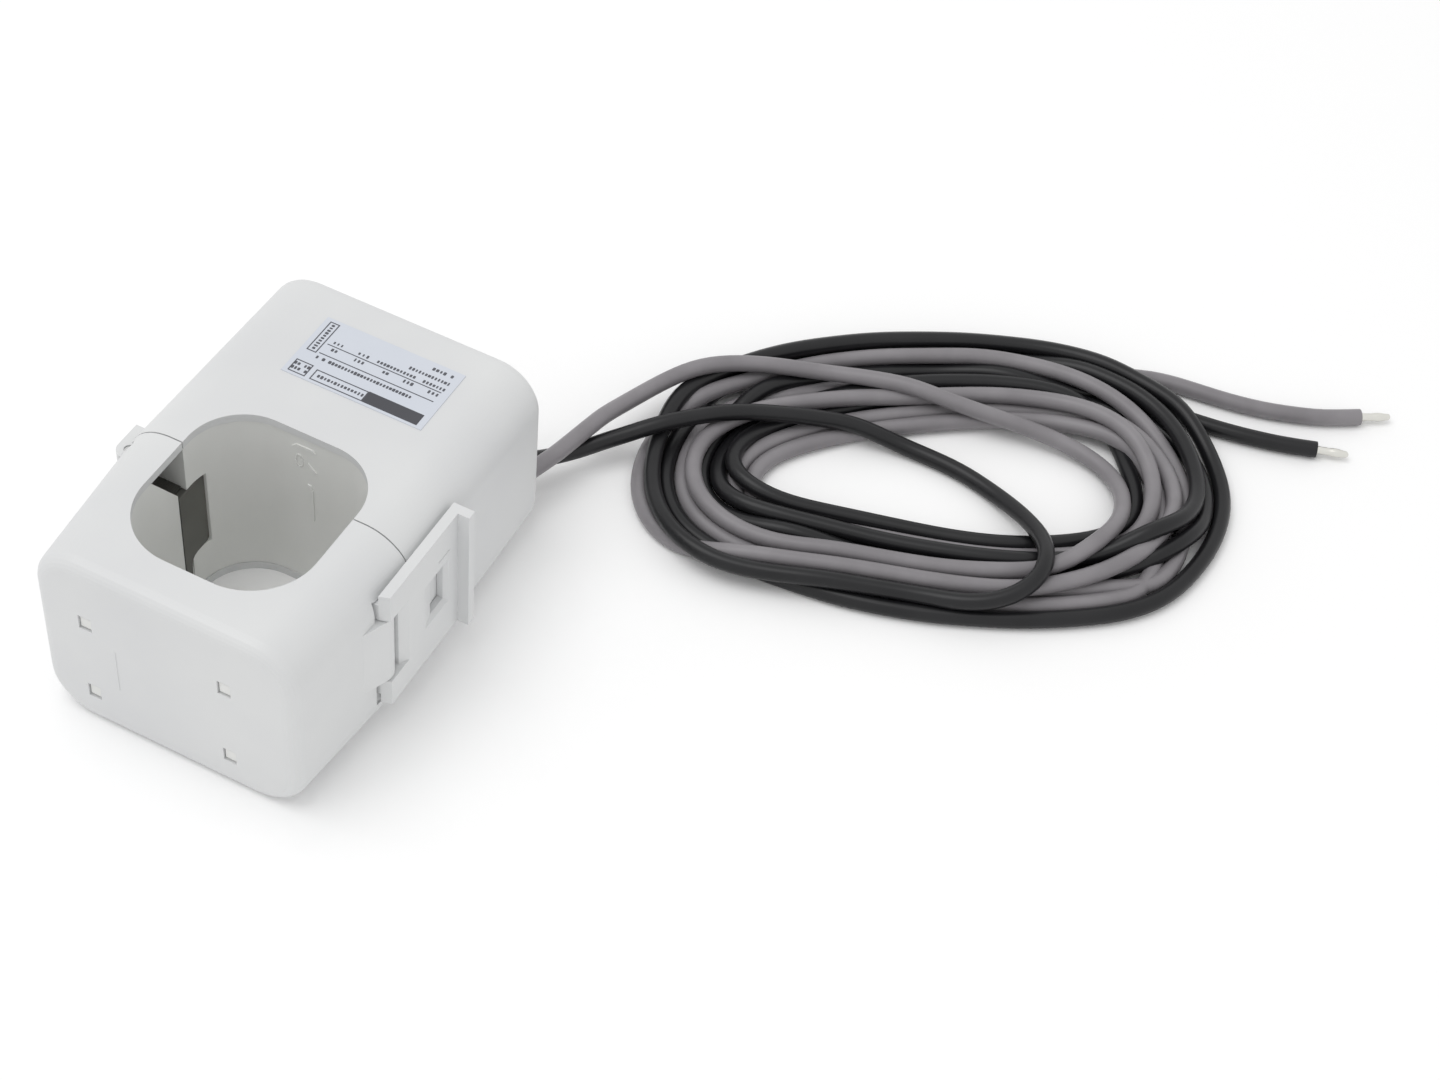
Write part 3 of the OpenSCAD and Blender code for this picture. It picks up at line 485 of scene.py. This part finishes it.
# rows of print from one end to the other, in millimetres on the label
printRows = [((-9.0, 36.5), (11.0, 36.5)), ((-8.3, 39.5), (-6.8, 39.5)), ((-2.6, 39.5), (-1.0, 39.5)),
             ((2.8, 39.5), (4.3, 39.5)), ((8.0, 39.5), (9.6, 39.5)), ((13.3, 39.5), (15.0, 39.5)),
             ((-8.2, 41.3), (-6.6, 41.3)), ((-2.8, 41.3), (-1.0, 41.3)), ((0.6, 41.3), (15.4, 41.3)),
             ((7.2, 43.0), (15.4, 43.0)), ((11.1, 45.0), (15.0, 45.0)), ((-6.1, 32.4), (3.3, 32.4)),
             ((-11.6, 33.3), (-8.8, 33.3)), ((-11.6, 32.1), (-8.8, 32.1)), ((-10.85, 38.2), (-10.85, 45.0))]
printFrames = [(-11.9, 37.3, -9.8, 45.8), (-12.0, 31.0, -8.3, 34.3), (-7.3, 31.0, 4.0, 33.8)]
printBars = [(-9.3, 37.6, 15.3, 37.8), (-9.2, 40.3, 15.4, 40.5)]
printPanel = (4.0, 31.0, 15.7, 33.9)


def inkBar(bm, corners, low, high, materialIndex=0):  # a flat patch of ink with an upper face and edges
    x0, y0, x1, y1 = corners
    ring = [(x0, y0), (x1, y0), (x1, y1), (x0, y1)]
    bottom = [bm.verts.new(place(x, y, low)) for x, y in ring]
    top = [bm.verts.new(place(x, y, high)) for x, y in ring]
    faces = [bottom[::-1], top] + [[bottom[k], bottom[(k + 1) % 4], top[(k + 1) % 4], top[k]] for k in range(4)]
    for corner in faces:
        bm.faces.new(corner).material_index = materialIndex


def addLabelLines():
    bm = bmesh.new()
    low, high, line = labelTop - printSetup["sunk"], labelTop + printSetup["ink"], printSetup["line"]
    for x0, y0, x1, y1 in printFrames:
        for side in ((x0, y0, x1, y0 + line), (x0, y1 - line, x1, y1), (x0, y0 + line, x0 + line, y1 - line),
                     (x1 - line, y0 + line, x1, y1 - line)):
            inkBar(bm, side, low, high)
    for corners in printBars:
        inkBar(bm, corners, low, high)
    inkBar(bm, printPanel, low, high, 1)
    lines = meshObject("labelLines", bm, labelInk, labelInkDark)
    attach(lines, "body")


def groupInput(group, name, kind, value):  # a named input of a node group, and its identifier
    socket = group.interface.new_socket(name=name, in_out="INPUT", socket_type=kind)
    if value is not None:
        socket.default_value = value
    return socket.identifier


def markRowTree(material):  # every edge of the mesh becomes a row of short printed marks
    group = bpy.data.node_groups.new("printMarks", "GeometryNodeTree")
    group.interface.new_socket(name="Geometry", in_out="OUTPUT", socket_type="NodeSocketGeometry")
    ids = {"Geometry": groupInput(group, "Geometry", "NodeSocketGeometry", None)}
    for name in ("Pitch", "Length", "Height", "Ink"):
        ids[name] = groupInput(group, name, "NodeSocketFloat", 0.001)
    ids["Seed"] = groupInput(group, "Seed", "NodeSocketInt", 1)
    given = group.nodes.new("NodeGroupInput")
    curve = addNode(group, "GeometryNodeMeshToCurve", i0=given.outputs["Geometry"])
    rows = addNode(group, "GeometryNodeResampleCurve", {"mode": "LENGTH"}, Curve=curve.outputs[0],
                   Length=given.outputs["Pitch"])
    shape = addNode(group, "GeometryNodeCurvePrimitiveQuadrilateral", Width=given.outputs["Length"],
                    Height=given.outputs["Height"])
    corner = addNode(group, "ShaderNodeMath", {"operation": "MULTIPLY", 1: printSetup["corner"]},
                     i0=given.outputs["Length"])
    rounded = addNode(group, "GeometryNodeFilletCurve", {"mode": "POLY", "Count": printSetup["cornerPoints"]},
                      Curve=shape.outputs[0], Radius=corner.outputs[0])
    filled = addNode(group, "GeometryNodeFillCurve", Curve=rounded.outputs[0])
    raised = addNode(group, "GeometryNodeExtrudeMesh", Mesh=filled.outputs[0], Offset_Scale=given.outputs["Ink"])
    under = addNode(group, "GeometryNodeFlipFaces", i0=filled.outputs[0])
    mark = group.nodes.new("GeometryNodeJoinGeometry")
    group.links.new(raised.outputs["Mesh"], mark.inputs[0])
    group.links.new(under.outputs[0], mark.inputs[0])
    closed = addNode(group, "GeometryNodeMergeByDistance", {"Distance": printSetup["weld"]},
                     Geometry=mark.outputs[0])
    size = addNode(group, "FunctionNodeRandomValue", {"data_type": "FLOAT_VECTOR", 0: printSetup["smallest"],
                                                      1: printSetup["largest"]}, Seed=given.outputs["Seed"])
    kept = addNode(group, "FunctionNodeRandomValue", {"data_type": "BOOLEAN", "Probability": printSetup["printed"]},
                   Seed=given.outputs["Seed"])
    way = group.nodes.new("GeometryNodeInputTangent")
    turned = addNode(group, "FunctionNodeAlignRotationToVector", {"axis": "X"}, Vector=way.outputs[0])
    placed = addNode(group, "GeometryNodeInstanceOnPoints", Points=rows.outputs[0], Instance=closed.outputs[0],
                     Scale=size.outputs["Value"], Selection=kept.outputs[3], Rotation=turned.outputs[0])
    real = addNode(group, "GeometryNodeRealizeInstances", i0=placed.outputs[0])
    finish = addNode(group, "GeometryNodeSetMaterial", {"Material": material}, Geometry=real.outputs[0])
    out = group.nodes.new("NodeGroupOutput")
    group.links.new(finish.outputs[0], out.inputs[0])
    return group, ids


def applyTree(thing, group, ids, values):  # the tree's result as a plain mesh
    modifier = thing.modifiers.new("rows", "NODES")
    modifier.node_group = group
    for name, value in values.items():
        modifier[ids[name]] = value
    bpy.context.view_layer.update()
    evaluated = thing.evaluated_get(bpy.context.evaluated_depsgraph_get())
    mesh = bpy.data.meshes.new_from_object(evaluated)
    thing.modifiers.remove(modifier)
    thing.data = mesh


def addLabelRows():
    spots, edges = [], []
    for row in printRows:
        edges.append((len(spots), len(spots) + 1))
        spots += [place(x, y, labelTop - printSetup["sunk"]) for x, y in row]
    mesh = bpy.data.meshes.new("labelRows")
    mesh.from_pydata(spots, edges, [])
    rows = addObject("labelRows", mesh)
    group, ids = markRowTree(labelInk)
    applyTree(rows, group, ids, {"Pitch": printSetup["markPitch"] / 1000, "Length": printSetup["markLength"] / 1000,
                                 "Height": printSetup["rowHeight"] / 1000,
                                 "Ink": (printSetup["ink"] + printSetup["sunk"]) / 1000, "Seed": printSetup["seed"]})
    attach(rows, "body")
    print("label rows:", len(rows.data.polygons), "faces")


addLabelLines()
addLabelRows()


# low raised shapes on the walls: how far they reach under the surface, how wide their sloping edge is, and the
# share of the way to their middle that the edge never passes
reliefSetup = {"sunk": 0.05, "edge": 0.12, "deepest": 0.6}


def reliefPiece(name, outlines, toFrame, rise, material, body):
    bm = bmesh.new()
    for outline in outlines:
        centre = sum((Vector(p) for p in outline), Vector((0, 0))) / len(outline)
        foot = [bm.verts.new(toFrame(p[0], p[1], -reliefSetup["sunk"])) for p in outline]
        shoulder = []
        for p in outline:
            inward = centre - Vector(p)
            edge = min(reliefSetup["edge"], reliefSetup["deepest"] * inward.length)
            spot = Vector(p) + inward.normalized() * edge
            shoulder.append(bm.verts.new(toFrame(spot.x, spot.y, rise)))
        count = len(outline)
        for k in range(count):
            bm.faces.new((foot[k], foot[(k + 1) % count], shoulder[(k + 1) % count], shoulder[k]))
        bm.faces.new(shoulder)
        bm.faces.new(foot[::-1])
    bmesh.ops.recalc_face_normals(bm, faces=bm.faces)
    piece = meshObject(name, bm, material)
    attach(piece, body)


def ovalBand(middle, wide, tall, thick, steps):  # an oval ring in pieces, as four-cornered outlines
    rim = []
    for k in range(steps + 1):
        angle = math.radians(360 * k / steps)
        rim.append([(middle[0] + (wide / 2 - inset) * math.cos(angle), middle[1] + (tall / 2 - inset) * math.sin(angle))
                    for inset in (0, thick)])
    return [[a[0], b[0], b[1], a[1]] for a, b in zip(rim, rim[1:])]


# direction marks on the window wall under the label: across the window, then height
markSetup = {"wall": 19.2, "rise": 0.22,
             "outlines": [[(-3.6, 38.2), (1.6, 38.5), (1.0, 39.2), (-2.6, 39.1)],
                          [(0.1, 32.7), (1.7, 33.3), (0.3, 34.6), (-0.2, 35.2)],
                          [(0.3, 19.5), (0.65, 19.5), (0.65, 28.0), (0.3, 28.0)],
                          [(-0.8, 28.2), (0.5, 28.0), (0.3, 29.2), (-0.5, 29.4)]],
             "oval": {"middle": (-2.1, 34.8), "wide": 1.9, "tall": 3.6, "thick": 0.45, "steps": 14}}
# the marks on the window wall share the lining's paler colour, which is painted light
reliefPiece("windowMarks", markSetup["outlines"] + ovalBand(**markSetup["oval"]),
            lambda x, z, rise: place(x, markSetup["wall"] - rise, z), markSetup["rise"], insertAbs, "body")
# witness line of the mould on the end of the jaw: across, then height
mouldSetup = {"jawEnd": -28.0, "rise": 0.1, "outline": [(-10.9, 12.7), (-10.65, 12.7), (-10.65, 23.7), (-10.9, 23.7)]}
reliefPiece("mouldLine", [mouldSetup["outline"]], lambda x, z, rise: place(x, mouldSetup["jawEnd"] - rise, z),
            mouldSetup["rise"], caseAbs, "jaw")
# short step beside the clip's catch window: along the clip, then height
stepSetup = {"clipFace": 31.3, "rise": 0.15, "outline": [(12.8, 31.7), (16.2, 31.7), (16.6, 32.1), (12.8, 32.1)]}
reliefPiece("clipStep", [stepSetup["outline"]], lambda y, z, rise: place(stepSetup["clipFace"] + rise, y, z),
            stepSetup["rise"], caseAbs, "latch")
# top of the core strip in the jaw, seen through the notch in the window lining
coreTopSetup = {"first": -24.55, "last": -19.4, "strips": 12, "gap": 0.05, "front": -6.0, "back": 5.95,
                "low": 25.75, "high": 30.4}


def addCoreTop(setup):
    bm = bmesh.new()
    pitch = (setup["last"] - setup["first"]) / setup["strips"]
    for k in range(setup["strips"]):
        x = setup["first"] + k * pitch
        inkBar(bm, (x, setup["front"], x + pitch - setup["gap"], setup["back"]), setup["low"], setup["high"])
    strips = meshObject("jawCoreTop", bm, coreStrip)
    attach(strips, "jaw")


addCoreTop(coreTopSetup)

# varnished pole face of the core, level with the window lining in its notch, and its tail down the parting line
poleSetup = {"outline": [(3.5, 29.9), (11.2, 29.9), (11.2, 12.1), (10.7, 11.55), (8.9, 11.5), (7.3, 11.5), (6.3, 11.2),
                         (5.7, 10.6), (5.4, 9.6), (5.3, 5.2), (3.5, 5.2)],
             "middle": (8.2, 20.0), "wall": -18.2, "proud": 0.1, "edge": 0.12, "slope": 0.1,
             "inside": -19.35, "tailTop": 11.6, "tailInside": 0.1}


def addPoleFace(setup):
    bm = bmesh.new()
    outline, wall = setup["outline"], setup["wall"]
    faceX = wall + setup["proud"]
    back, rim, front = [], [], []
    for y, z in outline:
        back.append(bm.verts.new(place(setup["inside"] if z > setup["tailTop"] else wall - setup["tailInside"], y, z)))
    for y, z in outline:
        rim.append(bm.verts.new(place(faceX - setup["edge"], y, z)))
    for y, z in outline:
        inward = (Vector(setup["middle"]) - Vector((y, z))).normalized() * setup["slope"]
        front.append(bm.verts.new(place(faceX, y + inward.x, z + inward.y)))
    count = len(outline)
    for low, high in ((back, rim), (rim, front)):
        for k in range(count):
            bm.faces.new((low[k], low[(k + 1) % count], high[(k + 1) % count], high[k]))
    bm.faces.new(front)
    bm.faces.new(back[::-1])
    bmesh.ops.recalc_face_normals(bm, faces=bm.faces)
    face = meshObject("poleFace", bm, poleVarnish)
    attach(face, "body")


addPoleFace(poleSetup)
print("small mouldings made")

# floor and light: sizes in metres, the lamp's power in watts, the world's light and the background it shows
stageSetup = {"reach": 6, "paper": "#FFFFFF", "roughness": 0.9, "specular": 0.1, "sky": 0.77, "background": 1.0,
              "lampSpot": (-0.3, -0.2, 1.3), "lampAim": (0.05, 0.04, 0), "lampSize": 0.9, "lampPower": 5.8}


def addFloor(setup):  # plain matt paper
    r = setup["reach"]
    mesh = bpy.data.meshes.new("floor")
    mesh.from_pydata([(-r, -r, 0), (r, -r, 0), (r, r, 0), (-r, r, 0)], [], [(0, 1, 2, 3)])
    material = newMaterial("floorPaper", {"Base Color": colour(setup["paper"]), "Roughness": setup["roughness"],
                                          "Specular IOR Level": setup["specular"]})[0]
    mesh.materials.append(material)
    addObject("floor", mesh)


def addWorld(strength, background):  # even light on the object, and a plain background for camera and reflections
    world = bpy.data.worlds.new("studio")
    bpy.context.scene.world = world
    world.use_nodes = True
    tree = world.node_tree
    tree.nodes.clear()
    out = tree.nodes.new("ShaderNodeOutputWorld")
    rays = tree.nodes.new("ShaderNodeLightPath")
    seen = addNode(tree, "ShaderNodeMath", {"operation": "MAXIMUM"}, i0=rays.outputs["Is Camera Ray"],
                   i1=rays.outputs["Is Glossy Ray"])
    sky = addNode(tree, "ShaderNodeBackground", {"Color": (1, 1, 1, 1), "Strength": strength})
    wall = addNode(tree, "ShaderNodeBackground", {"Color": (1, 1, 1, 1), "Strength": background})
    mix = addNode(tree, "ShaderNodeMixShader", i0=seen.outputs[0], i1=sky.outputs[0], i2=wall.outputs[0])
    tree.links.new(mix.outputs[0], out.inputs[0])


def addLamp(name, spot, target, size, power):
    data = bpy.data.lights.new(name, "AREA")
    data.size, data.energy = size, power
    lamp = addObject(name, data)
    lamp.location = spot
    lamp.rotation_euler = (Vector(target) - Vector(spot)).to_track_quat("-Z", "Y").to_euler()


addFloor(stageSetup)
addWorld(stageSetup["sky"], stageSetup["background"])
addLamp("topLamp", stageSetup["lampSpot"], stageSetup["lampAim"], stageSetup["lampSize"], stageSetup["lampPower"])
bpy.context.scene.view_settings.view_transform = "Standard"
print("stage lit")
